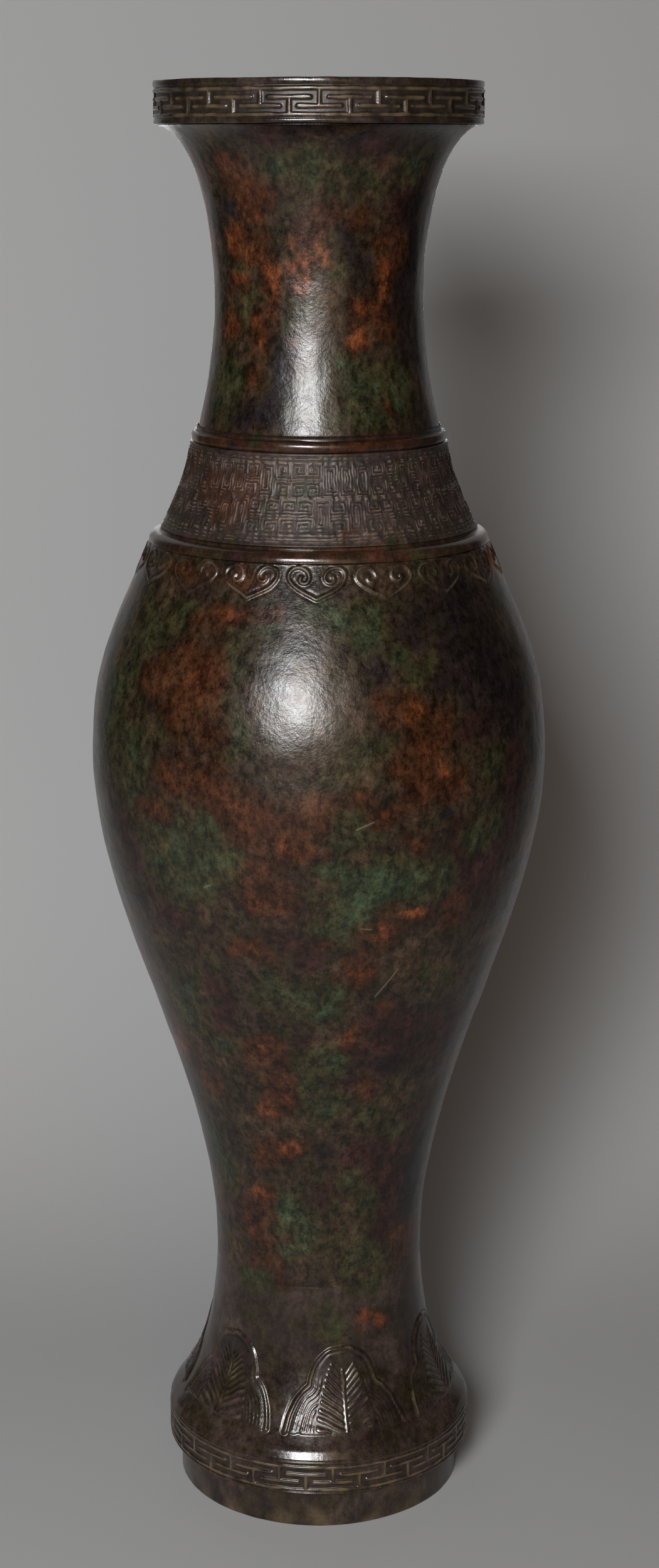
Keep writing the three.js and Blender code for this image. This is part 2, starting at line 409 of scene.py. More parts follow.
def sweep(start, end, leave, arrive, spacing):
    """A smooth outline that keeps its direction at each end for a share of its width and height."""
    start, end = np.array(start, float), np.array(end, float)
    span = end - start
    a, b = start + span * leave, end - span * arrive
    t = np.linspace(0, 1, max(4, int(np.hypot(*span) / spacing)))[:, None]
    return start * (1 - t) ** 3 + 3 * a * t * (1 - t) ** 2 + 3 * b * t * t * (1 - t) + end * t**3


def rounded(points, radius=0.35, spacing=2.0):
    """A chain of straight runs with eased corners."""
    p = np.array(points, float)
    made = [p[0]]
    steps = (0, 0.25, 0.5, 0.75, 1)
    for a, b, c in zip(p, p[1:], p[2:]):
        into, out = b - a, c - b
        ease = min(radius, 0.36 * np.hypot(*into), 0.36 * np.hypot(*out))
        into, out = into / np.hypot(*into), out / np.hypot(*out)
        first, last = b - into * ease, b + out * ease
        made.append(first - into * ease * 0.3)
        made += [first * (1 - t) ** 2 + 2 * b * t * (1 - t) + last * t * t for t in steps]
        made.append(last + out * ease * 0.3)
    made.append(p[-1])
    fine = [made[0]]
    for a, b in zip(made, made[1:]):
        parts = max(1, math.ceil(np.hypot(*(b - a)) / spacing))
        fine += [a + (b - a) * k / parts for k in range(1, parts + 1)]
    return np.array(fine)


def inset(path, wall):
    """The inside of a wall whose outside runs upwards along a path, turned to run downwards."""
    along = np.gradient(path, axis=0)
    along /= np.hypot(along[:, 0], along[:, 1])[:, None]
    return (path + wall * np.stack([-along[:, 1], along[:, 0]], 1))[::-1]


def between(path, low, high):
    """The points of a path that lie between two levels."""
    return path[(path[:, 1] > low) & (path[:, 1] < high)]


def spigot(seat, seam, length):
    """The lower end of a section, from the inside of its spigot to the seam outside."""
    inner = seat - SOCKET_WALL - CLEARANCE
    return [(seat - WALL, seam - length), (inner, seam - length), (inner, seam), (seat, seam)]


def socket(seat, seam, length):
    """The upper end of a section, from the seam outside to the floor of its socket."""
    bore = seat - SOCKET_WALL
    return [(seat, seam), (bore, seam), (bore, seam - length - CLEARANCE)]


# Patches of patina by sort: bearing in degrees, height, half width and half height in mm.
# The tall soot and maroon patches near the right edge, at bearings of about 45 to 58, are painted shade
# of the side away from the lamps.
PATCHES = {
    "russet": [
        (-33, 414, 5, 5), (-25, 417, 5, 3), (-42, 425, 5, 5), (-47, 406, 5, 3), (-51, 402, 3, 3),
        (-37, 399, 5, 2), (-27, 395, 3, 3), (-33, 405, 3, 2), (-50, 392, 5, 3), (-57, 380, 5, 7),
        (-24, 390, 2, 6), (-32, 378, 3, 6), (-25, 383, 3, 5), (-8, 406, 4, 2), (-14, 395, 2, 3),
        (-3, 397, 3, 3), (3, 412, 6, 4), (-15, 375, 2, 2), (22, 410, 4, 3), (35, 405, 4, 4),
        (37, 399, 5, 5), (45, 404, 4, 3), (36, 393, 4, 5), (25, 385, 6, 5), (21, 376, 4, 5),
        (33, 380, 5, 3), (30, 426, 3, 2), (36, 356, 2, 3), (-36, 364, 3, 4), (-48, 427, 6, 4),
        (-45, 335, 9, 6), (-36, 326, 7, 5), (-27, 336, 5, 5), (10, 321, 4, 3), (-42, 347, 9, 2),
        (20, 346, 16, 2), (-32, 280, 9, 9), (-33, 278, 6, 5), (-45, 278, 9, 5), (-37, 287, 7, 4),
        (-26, 299, 8, 4), (-24, 308, 8, 3), (-43, 308, 8, 3), (-12, 299, 5, 2), (-28, 264, 8, 7),
        (-30, 250, 11, 6), (-39, 250, 6, 5), (-45, 240, 9, 3), (-23, 244, 6, 5), (-16, 241, 7, 4),
        (-7, 235, 11, 6), (-8, 234, 8, 4), (-14, 226, 6, 6), (-10, 214, 7, 6), (-17, 215, 4, 5),
        (-1, 246, 6, 3), (10, 248, 4, 3), (16, 242, 5, 3), (17, 272, 6, 4), (26, 270, 8, 6),
        (20, 256, 5, 3), (28, 257, 8, 6), (29, 248, 6, 4), (36, 248, 5, 6), (24, 245, 4, 5),
        (25, 232, 4, 4), (27, 210, 8, 3), (37, 211, 6, 3), (15, 204, 8, 4), (-22, 199, 9, 3),
        (38, 205, 5, 4), (1, 201, 3, 2), (-17, 197, 4, 3), (12, 191, 5, 6), (21, 178, 3, 2),
        (10, 167, 4, 4), (-14, 154, 4, 5), (-20, 162, 4, 4), (-25, 156, 3, 5), (-13, 143, 3, 4),
        (-15, 149, 3, 4), (-23, 140, 4, 5), (19, 148, 4, 4), (-14, 126, 7, 4), (-17, 126, 4, 4),
        (-28, 122, 4, 5), (-30, 108, 6, 8), (-34, 95, 8, 4), (-28, 84, 7, 3), (-52, 145, 6, 6),
        (52, 85, 5, 5), (48, 91, 4, 3), (-18, 166, 5, 4), (30, 65, 6, 4), (-20, 78, 4, 3),
        (-60, 160, 6, 9),
    ],
    "orange": [
        (-35, 413, 4, 5), (-28, 416, 2, 2), (-47, 407, 3, 2), (-51, 402, 3, 3), (-38, 400, 3, 3),
        (-28, 395, 3, 4), (-24, 390, 2, 5), (-9, 405, 5, 3), (-4, 398, 5, 4), (-14, 395, 2, 4),
        (-50, 393, 4, 3), (-57, 381, 4, 6), (-32, 379, 2, 5), (21, 376, 3, 4), (23, 385, 4, 3),
        (37, 397, 3, 3), (36, 390, 2, 3), (-8, 391, 3, 4), (-26, 298, 4, 2), (-9, 234, 6, 3),
        (24, 271, 3, 3), (31, 253, 2, 3), (35, 248, 2, 3), (16, 204, 4, 2), (27, 210, 5, 2),
        (-28, 251, 5, 2), (-14, 126, 4, 3), (-22, 141, 3, 3), (30, 65, 5, 3), (-30, 109, 3, 4),
        (12, 190, 3, 3), (-20, 162, 2, 3), (10, 167, 2, 3), (-21, 245, 3, 2),
    ],
    "verdigris": [
        (-2, 425, 9, 5), (-18, 425, 4, 4), (50, 424, 6, 5), (27, 421, 3, 2), (20, 424, 2, 2),
        (-46, 397, 4, 3), (-37, 407, 3, 2), (-38, 390, 4, 2), (-33, 401, 3, 3), (-42, 383, 4, 6),
        (-19, 381, 3, 3), (5, 395, 3, 3), (10, 396, 2, 3), (-45, 364, 5, 5), (-58, 357, 5, 6),
        (18, 353, 9, 3), (18, 362, 6, 5), (32, 365, 6, 6), (43, 363, 5, 5), (40, 357, 4, 3),
        (12, 370, 4, 4), (-29, 366, 2, 4), (-7, 383, 4, 4), (-63, 366, 5, 8), (-6, 333, 4, 6),
        (35, 315, 12, 2), (-30, 347, 3, 2), (-41, 296, 10, 5), (-53, 289, 6, 5), (-15, 295, 4, 4),
        (-23, 280, 5, 9), (5, 297, 9, 3), (14, 296, 6, 5), (21, 287, 3, 3), (25, 281, 4, 4),
        (31, 285, 2, 3), (-41, 264, 6, 3), (-49, 253, 5, 7), (-52, 244, 5, 5), (17, 262, 3, 4),
        (2, 253, 4, 5), (5, 243, 6, 4), (11, 236, 6, 3), (-42, 229, 10, 9), (-27, 227, 7, 8),
        (-34, 215, 10, 7), (-29, 240, 8, 3), (6, 226, 6, 8), (6, 211, 7, 7), (7, 219, 5, 9),
        (5, 203, 4, 3), (15, 222, 7, 10), (25, 222, 7, 7), (33, 221, 6, 4), (46, 252, 6, 6),
        (47, 235, 5, 5), (42, 231, 5, 4), (15, 214, 6, 5), (-64, 270, 12, 22), (-20, 262, 5, 6),
        (9, 258, 5, 5), (-22, 226, 4, 4), (-13, 188, 4, 3), (-6, 183, 8, 5), (1, 177, 7, 5),
        (5, 185, 4, 4), (-44, 180, 5, 9), (-54, 173, 5, 9), (-36, 162, 4, 3), (-2, 163, 4, 5),
        (6, 158, 3, 5), (-4, 150, 4, 5), (1, 141, 6, 5), (-9, 152, 2, 4), (9, 145, 4, 3),
        (20, 139, 6, 4), (28, 148, 4, 3), (36, 130, 6, 4), (-44, 144, 6, 6), (-23, 150, 2, 3),
        (-14, 108, 6, 8), (-10, 96, 7, 6), (-15, 90, 5, 4), (-12, 91, 4, 2), (15, 115, 4, 3),
        (22, 108, 4, 5), (8, 104, 3, 3), (20, 91, 6, 7), (30, 86, 5, 5), (16, 84, 4, 3),
        (39, 184, 6, 6), (-20, 92, 4, 4), (10, 64, 4, 6), (-35, 76, 6, 5), (29, 75, 5, 4),
        (-60, 120, 6, 14),
    ],
    # Maroon patina; its tall patches near the right edge also paint the shade of the right side
    "maroon": [
        (-22, 433, 5, 3), (20, 432, 7, 4), (45, 414, 6, 5), (42, 387, 5, 5), (52, 398, 6, 26),
        (38, 388, 4, 4), (40, 264, 8, 4), (34, 232, 4, 6), (40, 222, 5, 8), (46, 213, 6, 7),
        (52, 228, 6, 20), (57, 244, 5, 16), (-42, 205, 8, 4), (-56, 226, 5, 12), (-12, 204, 9, 3),
        (-2, 196, 5, 4), (27, 165, 9, 11), (21, 176, 4, 4), (48, 166, 7, 9), (-32, 183, 4, 5),
        (-33, 173, 4, 4), (-5, 166, 4, 3), (11, 151, 3, 3), (14, 164, 3, 6), (20, 125, 5, 5),
        (33, 118, 6, 9), (41, 100, 6, 14), (-46, 104, 6, 6), (8, 96, 4, 3), (3, 109, 4, 6),
        (45, 130, 6, 8), (27, 168, 5, 4),
    ],
    # Soot, and the painted shade of the right side in the tall patches at bearings about 45 to 58
    "soot_and_shade": [
        (22, 398, 4, 4), (13, 407, 3, 5), (12, 396, 2, 4), (-20, 368, 3, 7), (-44, 354, 6, 3),
        (-28, 353, 7, 3), (-20, 357, 2, 4), (58, 395, 8, 34), (5, 435, 18, 2), (-50, 414, 4, 3),
        (45, 286, 16, 15), (56, 270, 11, 14), (27, 293, 4, 4), (15, 283, 5, 6), (36, 282, 4, 4),
        (-46, 271, 8, 3), (-41, 285, 3, 3), (-20, 239, 3, 2), (32, 241, 3, 3), (25, 156, 5, 4),
        (42, 151, 3, 3), (2, 127, 5, 5), (-48, 125, 7, 6), (46, 300, 12, 5), (-44, 344, 5, 1.5),
        (52, 112, 7, 24), (-42, 356, 7, 4), (-30, 354, 6, 4), (-21, 364, 2, 7),
    ],
}
BACK_PATCHES = 90
BACK_BEARINGS = (72, 288)
BACK_HEIGHTS = (70, 430)


def all_patches(kind):
    """The patches of one sort: those of the front, and scattered ones of the same kind on the back."""
    rng = np.random.default_rng(len(PATCHES[kind]))
    made = list(PATCHES[kind])
    for _ in range(BACK_PATCHES):
        size = rng.uniform(3, 10)
        bearing, height = rng.uniform(*BACK_BEARINGS), rng.uniform(*BACK_HEIGHTS)
        made.append((bearing, height, size, size * rng.uniform(0.6, 1.2)))
    return made


def ragged(phi, z):
    """How far the edges of a patch stray in mm, round the axis and upwards."""
    return (2.2 * grain(phi, z, 61, 24) + 1.3 * grain(phi, z, 62, 9),
            2.2 * grain(phi, z, 63, 24) + 1.3 * grain(phi, z, 64, 9))


def patina(phi, z, radius):
    """How strongly each sort of patina lies at points of the surface."""
    warp, drift = ragged(phi, z)
    found = {}
    for kind in PATCHES:
        bare = np.ones(phi.shape)
        for bearing, height, wide, tall in all_patches(kind):
            near = abs(z - height) < 3 * tall + 9
            off, _ = wrapped(phi[near], bearing, 1)
            warp_there, drift_there = ragged(math.radians(bearing), height)
            share = min(1, (wide + tall) / 15)
            x = (off * np.maximum(radius[near], 20) + share * (warp[near] - warp_there)) / wide
            y = (z[near] - height + share * (drift[near] - drift_there)) / tall
            bare[near] *= 1 - 0.8 * np.exp(-0.7 * (x * x + y * y))
        found[kind] = 1 - bare
    return found


# The side of the body from the waist to the belly
SIDE = sweep((WAIST_RADIUS, WAIST), (BELLY_RADIUS, BELLY), (0, 0.39), (0, 0.32), 2.0)

# Light scratches on the side of the body: bearing in degrees and height in mm of both ends
SCRATCHES = [
    ((17, 182), (23, 191)), ((-30, 217.4), (-28, 218.4)), ((9, 238), (13, 240)), ((11, 206), (14, 205.5)),
]


class Wall:
    """A closed turned wall. Its section runs up the outside and down the inside, as stretches of rows."""

    def __init__(self, name):
        self.name = name
        self.stretches = []

    def run(self, path, count, relief=plain):
        """Adds a stretch of the section with a number of points round the axis."""
        self.stretches.append((np.asarray(path, float), count, relief))
        return self

    def rows(self):
        """Every row's radius and height, count, outward direction and place along the section."""
        section = np.vstack([path for path, _, _ in self.stretches])
        counts = np.concatenate([np.full(len(path), n) for path, n, _ in self.stretches])
        along = np.roll(section, -1, 0) - np.roll(section, 1, 0)
        along /= np.hypot(along[:, 0], along[:, 1])[:, None]
        outward = np.stack([along[:, 1], -along[:, 0]], 1)
        steps = np.hypot(*(np.roll(section, -1, 0) - section).T)
        place = np.concatenate([[0], np.cumsum(steps)]) / steps.sum()
        return section, counts, outward, place

    def points(self):
        """Where each point lies, how raised it is, and its bearing."""
        section, _, outward, _ = self.rows()
        spots, raised, bearings = [], [], []
        start = 0
        for path, count, relief in self.stretches:
            end = start + len(path)
            phi = np.broadcast_to(np.arange(count) * 2 * math.pi / count, (len(path), count))
            radius, z = section[start:end, :1], section[start:end, 1:]
            height, rise = relief(phi, np.broadcast_to(z, phi.shape), np.broadcast_to(radius, phi.shape))
            r = radius + outward[start:end, :1] * height
            up = z + outward[start:end, 1:] * height
            spots.append(np.stack([r * np.sin(phi), -r * np.cos(phi), up], -1).reshape(-1, 3))
            raised.append(rise.reshape(-1))
            bearings.append(phi.reshape(-1))
            start = end
        return np.vstack(spots), np.concatenate(raised), np.concatenate(bearings)

    def build(self, slot, material):
        """Makes the wall as one closed mesh that stands for the section of the same name."""
        _, counts, _, place = self.rows()
        spots, raised, bearings = self.points()
        starts = np.concatenate([[0], np.cumsum(counts)])
        corners, sizes, across, upward = [], [], [], []
        for j in range(len(counts)):
            k = (j + 1) % len(counts)
            here, there = int(counts[j]), int(counts[k])
            fewer = min(here, there)
            i = np.arange(fewer)
            low = i[:, None] * (here // fewer) + np.arange(here // fewer + 1)
            high = ((i[:, None] + 1) * (there // fewer) - np.arange(there // fewer + 1))
            corners.append(np.hstack([starts[j] + low % here, starts[k] + high % there]).reshape(-1))
            across.append(np.hstack([low / here, high / there]).reshape(-1))
            levels = [np.full(low.shape, place[j]), np.full(high.shape, place[j + 1])]
            upward.append(np.hstack(levels).reshape(-1))
            sizes.append(np.full(fewer, low.shape[1] + high.shape[1]))
        corners, sizes = np.concatenate(corners), np.concatenate(sizes)
        mesh = bpy.data.meshes.new(self.name)
        mesh.vertices.add(len(spots))
        mesh.vertices.foreach_set("co", (spots * MM).reshape(-1))
        mesh.loops.add(len(corners))
        mesh.loops.foreach_set("vertex_index", corners)
        mesh.polygons.add(len(sizes))
        mesh.polygons.foreach_set("loop_start", np.concatenate([[0], np.cumsum(sizes)[:-1]]))
        mesh.polygons.foreach_set("use_smooth", np.ones(len(sizes), bool))
        mesh.uv_layers.new(name="OFBake")
        mesh.uv_layers["OFBake"].data.foreach_set(
            "uv", np.stack([np.concatenate(across), np.concatenate(upward)], 1).reshape(-1))
        radius = np.hypot(spots[:, 0], spots[:, 1])
        fields = {"raised": raised, **patina(bearings, spots[:, 2], radius)}
        for name, values in fields.items():
            field = mesh.attributes.new(name, "FLOAT", "POINT")
            field.data.foreach_set("value", values.astype(np.float32))
        mesh.update(calc_edges=True)
        mesh.validate()
        piece = bpy.data.objects.new(f"{self.name}_bronze", mesh)
        bpy.context.scene.collection.objects.link(piece)
        piece.data.materials.append(material)
        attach(piece, "root")
        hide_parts(self.name)
        return piece


def srgb(red, green, blue):
    """A colour given in steps of 0 to 255 on a screen, as light."""
    def light(c):
        c /= 255
        return c / 12.92 if c <= 0.04045 else ((c + 0.055) / 1.055) ** 2.4
    return light(red), light(green), light(blue), 1


DARK_BROWN = srgb(34, 25, 19)
MID_BROWN = srgb(49, 37, 26)
OLIVE = srgb(46, 40, 25)
TAN = srgb(112, 94, 70)
SCRATCH = srgb(128, 118, 92)
DARK_FLECK = srgb(12, 10, 9)
PALE_FLECK = srgb(110, 106, 80)
# Near black laid on sunk ground: dirt in the recesses and painted shade of the recesses
DIRT_AND_SHADE = srgb(13, 10, 9)

# Coats of each sort of patina, in the order they are laid on: the thickness where a coat starts and where
# it is full, the share it then covers, and its colour
COATS = {
    # The maroon and soot coats also lay the painted shade of the right side
    "maroon": [(0.2, 0.6, 0.9, srgb(40, 22, 19))],
    "soot_and_shade": [(0.2, 0.75, 0.9, srgb(22, 17, 18))],
    "verdigris": [
        (0.12, 0.5, 0.85, srgb(43, 38, 21)), (0.38, 0.85, 0.85, srgb(42, 44, 27)),
        (0.75, 1.25, 0.85, srgb(52, 65, 44)),
    ],
    "russet": [
        (0.15, 0.5, 0.85, srgb(47, 28, 16)), (0.4, 0.8, 0.85, srgb(57, 31, 16)),
        (0.85, 1.3, 0.85, srgb(78, 40, 20)),
    ],
    "orange": [(0.25, 0.85, 0.85, srgb(84, 44, 22))],
}
CLOUDED = ("verdigris", "russet")


class Graph:
    """Short ways to write a material's nodes."""

    def __init__(self, tree):
        self.tree = tree
        self.tree.nodes.clear()

    def add(self, kind, values=(), **settings):
        """A node with its settings, and with values or links on its inputs."""
        node = self.tree.nodes.new(kind)
        for key, value in settings.items():
            setattr(node, key, value)
        for key, value in dict(values).items():
            self.feed(node.inputs[key], value)
        return node

    def feed(self, entry, value):
        """Links an output to an input, or sets a constant on it."""
        if isinstance(value, bpy.types.NodeSocket):
            self.tree.links.new(value, entry)
        else:
            entry.default_value = value

    def attribute(self, name):
        """A value that the mesh carries at its points."""
        return self.add("ShaderNodeAttribute", attribute_name=name).outputs["Fac"]

    def noise(self, where, size, detail=4, rough=0.55, shift=0.0):
        """Noise from 0 to 1 with lumps of a size in mm."""
        moved = self.vector("ADD", where, (shift, shift * 0.7, shift * 1.3))
        node = self.add("ShaderNodeTexNoise", {
            "Vector": moved, "Scale": 1 / (size * MM), "Detail": detail, "Roughness": rough})
        return node.outputs["Fac"]

    def vector(self, operation, a, b=(0, 0, 0), output="Vector"):
        """What an operation makes of two vectors."""
        return self.add("ShaderNodeVectorMath", {0: a, 1: b}, operation=operation).outputs[output]

    def math(self, operation, a, b=0.0):
        """What an operation makes of two values."""
        return self.add("ShaderNodeMath", {0: a, 1: b}, operation=operation).outputs[0]

    def step(self, value, low, high, to_low=0.0, to_high=1.0):
        """A soft step of a value from one level to another."""
        return self.add("ShaderNodeMapRange", {
            "Value": value, "From Min": low, "From Max": high, "To Min": to_low, "To Max": to_high,
        }, interpolation_type="SMOOTHSTEP").outputs["Result"]

    def scale(self, colour, factor):
        """A colour made lighter or darker."""
        node = self.add("ShaderNodeVectorMath", {0: colour}, operation="SCALE")
        self.feed(node.inputs["Scale"], factor)
        return node.outputs["Vector"]

    def mix(self, share, a, b):
        """A colour with a share of another laid on it."""
        node = self.add("ShaderNodeMix", data_type="RGBA")
        self.feed(node.inputs["Factor"], share)
        self.feed(node.inputs[6], a)
        self.feed(node.inputs[7], b)
        return node.outputs[2]


def on_side(bearing, z):
    """A point on the side of the body, in metres."""
    radius = np.interp(z, SIDE[:, 1], SIDE[:, 0])
    turn = math.radians(bearing)
    return np.array([radius * math.sin(turn), -radius * math.cos(turn), z]) * MM


def scratched(g, where, colour, scratches):
    """Draws scratches on a colour."""
    for start, end in scratches:
        a, b = on_side(*start), on_side(*end)
        along = (b - a) / np.dot(b - a, b - a)
        off = g.vector("SUBTRACT", where, tuple(a))
        share = g.vector("DOT_PRODUCT", off, tuple(along), "Value")
        nearest = g.scale(tuple(b - a), g.add("ShaderNodeClamp", {0: share}).outputs[0])
        gap = g.vector("DISTANCE", off, nearest, "Value")
        colour = g.mix(g.step(gap, 0.45 * MM, 0.1 * MM, 0, 0.4), colour, SCRATCH)
    return colour


def bronze(name, dark, brown, worn, wear, dirt_and_shade=0.0, rough=0.27, pitted=1.0, mottled=1.0, scratches=()):
    """Patinated bronze: a mottled brown ground, patches of patina, raised lines rubbed light, and sunk
    ground darkened with dirt and painted shade.
    """
    material = bpy.data.materials.new(name)
    material.use_nodes = True
    g = Graph(material.node_tree)
    where = g.add("ShaderNodeTexCoord").outputs["Object"]
    streaks = g.add("ShaderNodeMapping", {"Vector": where, "Scale": (1, 1, 0.75)}).outputs[0]
    raised = g.attribute("raised")
    broad = g.noise(where, 22, 5)
    clouds = g.noise(where, 9, 5, 0.6, 2.3)
    small = g.noise(streaks, 5, 6, 0.65, 0.3)
    fine = g.noise(streaks, 2.4, 6, 0.8, 0.7)
    flecks = g.noise(where, 1.1, 3, 0.6, 1.9)

    def patch(colour, kind, speckle):
        """Lays a sort of patina on a colour, from its thin edge to its thickest spots."""
        thickness = g.math("MULTIPLY", g.attribute(kind), g.step(speckle, 0.3, 0.7, 0.5, 1.4))
        thickness = g.math("MULTIPLY", thickness, g.step(fine, 0.3, 0.7, 0.9, 1.1))
        for low, high, share, coat in COATS[kind]:
            colour = g.mix(g.step(thickness, low, high, 0, share), colour, coat)
        return colour

    colour = g.mix(g.step(broad, 0.38, 0.62), dark, brown)
    colour = g.mix(g.step(clouds, 0.45, 0.62, 0, 0.75), colour, OLIVE)
    for kind in COATS:
        colour = patch(colour, kind, clouds if kind in CLOUDED else small)
    colour = g.scale(colour, g.step(clouds, 0.34, 0.66, 1 + 0.3 * mottled, 1 - 0.3 * mottled))
    colour = g.scale(colour, g.step(small, 0.32, 0.68, 1 - 0.38 * mottled, 1 + 0.4 * mottled))
    colour = g.scale(colour, g.step(fine, 0.32, 0.68, 1 - 0.72 * mottled, 1 + 0.9 * mottled))
    colour = g.mix(g.step(flecks, 0.6, 0.72, 0, 0.7), colour, DARK_FLECK)
    colour = g.mix(g.step(flecks, 0.27, 0.22, 0, 0.5), colour, PALE_FLECK)
    colour = scratched(g, where, colour, scratches)
    bared = g.math("MULTIPLY", g.step(raised, 0.55, 0.95), g.step(small, 0.25, 0.7, 0.35, 1.0))
    colour = g.mix(g.math("MULTIPLY", bared, wear), colour, worn)
    # Sunk ground is darkened towards near black: dirt and painted shade in the recesses
    sunk = g.step(raised, 0.45, 0.05)
    colour = g.mix(g.math("MULTIPLY", sunk, dirt_and_shade), colour, DIRT_AND_SHADE)

    dull = g.step(fine, 0.3, 0.7, rough - 0.05, rough + 0.07)
    dull = g.math("ADD", dull, g.math("MULTIPLY", g.math("MAXIMUM", sunk, bared), 0.2))
    pits = g.add("ShaderNodeBump", {
        "Height": g.noise(where, 1.0, 3, 0.65, 1.1), "Strength": 0.15 * pitted, "Distance": 0.0006})
    lumps = g.add("ShaderNodeBump", {
        "Height": g.noise(where, 6, 3, 0.5, 1.7), "Strength": 0.11 * pitted, "Distance": 0.0015,
        "Normal": pits.outputs["Normal"]})
    shader = g.add("ShaderNodeBsdfPrincipled", {
        "Base Color": colour, "Roughness": dull, "Metallic": 0.15, "Normal": lumps.outputs["Normal"]})
    out = g.add("ShaderNodeOutputMaterial")
    g.tree.links.new(shader.outputs[0], out.inputs["Surface"])
    return material


patinated = bronze(
    "patinated_bronze", DARK_BROWN, MID_BROWN, srgb(110, 98, 76), wear=0.4, scratches=SCRATCHES)
diapered = bronze(
    "diapered_bronze", srgb(43, 32, 29), srgb(60, 45, 39), srgb(118, 102, 89),
    wear=0.55, dirt_and_shade=0.45, rough=0.44, mottled=0.6)
fretted = bronze(
    "fretted_bronze", srgb(36, 27, 24), srgb(54, 43, 38), TAN,
    wear=0.6, dirt_and_shade=0.38, rough=0.19, pitted=0.5, mottled=0.6)
# The hoops darken their sunk hollow strongly: painted shade in the cove above the neck ring
worn_rings = bronze(
    "worn_bronze", srgb(38, 25, 21), srgb(62, 36, 26), srgb(120, 76, 58),
    wear=0.3, dirt_and_shade=0.6, rough=0.2, pitted=0.3, mottled=0.6)
unseen = bronze("plain_bronze", srgb(40, 36, 32), srgb(58, 52, 45), TAN, wear=0.0, rough=0.6)


def bead(radius, low, high, bulge, steps=16):
    """A rounded moulding from one level up to the next."""
    turn = np.linspace(0, math.pi, steps)
    return np.stack([radius + bulge * np.sin(turn), (low + high) / 2 - np.cos(turn) * (high - low) / 2], 1)


def strips(radius, low, high, lower, upper):
    """A band's lower strip, its sunk field and its upper strip."""
    field = radius - FRET_DEPTH
    z = np.arange(low + lower + 0.12, high - upper - 0.05, 0.17)
    return (bead(field, low, low + lower, FRET_DEPTH), np.stack([np.full(len(z), field), z], 1),
            bead(field, high - upper, high, FRET_DEPTH))


def mouth_ring():
    """The upright band round the mouth, with its fret."""
    lower, field, upper = strips(MOUTH_RADIUS, NECK_TOP, MOUTH_TOP, *MOUTH_STRIPS)
    inside = NECK_LIP_RADIUS - WALL
    bore = NECK_LIP_RADIUS - SOCKET_WALL
    bore_top = NECK_TOP + MOUTH_SPIGOT + CLEARANCE
    rest = rounded([
        (upper[-1][0] - 0.2, MOUTH_TOP), (inside, MOUTH_TOP), (inside, bore_top), (bore, bore_top),
        (bore, NECK_TOP), (lower[0][0] - 0.2, NECK_TOP),
    ], 0.6, 1.5)
    ornament = fret(MOUTH_FRET_BEARING, NECK_TOP + MOUTH_BORDERS[0], MOUTH_TOP - MOUTH_BORDERS[1])
    wall = Wall("mouth_ring").run(lower, 2 * TURN).run(field, 6 * TURN, ornament)
    wall.run(upper, 2 * TURN).run(rest, 2 * TURN)
    return wall.build("fretted_bronze", fretted)


def neck():
    """The plain waisted neck, with a spigot at each end."""
    lower = sweep((NECK_SEAT, NECK_BASE), (THROAT_RADIUS, THROAT), (0.44, 0.28), (0, 0.42), 1.3)
    upper = sweep((THROAT_RADIUS, THROAT), (NECK_LIP_RADIUS, NECK_TOP), (0, 0.63), (0.52, 0.04), 1.3)
    outside = np.vstack([lower, upper[1:]])
    lip = NECK_LIP_RADIUS - SOCKET_WALL - CLEARANCE
    inside = NECK_LIP_RADIUS - WALL
    top = rounded([(lip, NECK_TOP), (lip, NECK_TOP + MOUTH_SPIGOT), (inside, NECK_TOP + MOUTH_SPIGOT),
                   (inside, NECK_TOP)])
    within = between(inset(outside, WALL), NECK_BASE, NECK_TOP - 1)[::2]
    end = rounded(spigot(NECK_SEAT, NECK_SEAM, NECK_SPIGOT))
    wall = Wall("neck").run(outside, 2 * TURN)
    wall.run(top, TURN).run(within, TURN).run(end, TURN)
    return wall.build("patinated_bronze", patinated)


def neck_ring():
    """The rounded hoop over the seam under the neck."""
    inner = NECK_SEAT + CLEARANCE
    root = reach("neck_ring") - NECK_BEAD_BULGE
    top = COLLAR_TOP + NECK_BEAD_HEIGHT
    cove = sweep((root, top), (inner + 0.1, NECK_BASE), (0.7, 0), (0, 0.7), 0.25)[1:]
    back = rounded([(inner, NECK_BASE), (inner, COLLAR_TOP)])
    section = np.vstack([bead(root, COLLAR_TOP, top, NECK_BEAD_BULGE, 24), cove, back])
    return Wall("neck_ring").run(section, 2 * TURN, crested(top)).build("worn_bronze", worn_rings)


def collar():
    """The sloping band with the diaper."""
    outside = sweep((COLLAR_BASE_RADIUS, COLLAR_BASE), (COLLAR_TOP_RADIUS, COLLAR_TOP),
                    (0.71, 0.52), (0.2, 0.36), 0.26)
    coarse = outside[::8]
    floor = NECK_SEAM - NECK_SPIGOT - CLEARANCE
    top = rounded([(NECK_SEAT, COLLAR_TOP)] + socket(NECK_SEAT, NECK_SEAM, NECK_SPIGOT))
    within = between(inset(coarse, WALL), COLLAR_BASE + WALL, floor)
    end = rounded([(SHOULDER_SEAT - WALL, COLLAR_BASE)] + spigot(SHOULDER_SEAT, COLLAR_SEAM, COLLAR_SPIGOT)
                  + [(SHOULDER_SEAT, COLLAR_BASE)])
    ornament = diaper(COLLAR_BASE + DIAPER_MARGINS[0], COLLAR_TOP - DIAPER_MARGINS[1])
    wall = Wall("collar").run(outside, 5 * TURN, ornament)
    wall.run(top, TURN).run(within, TURN).run(end, TURN)
    return wall.build("diapered_bronze", diapered)


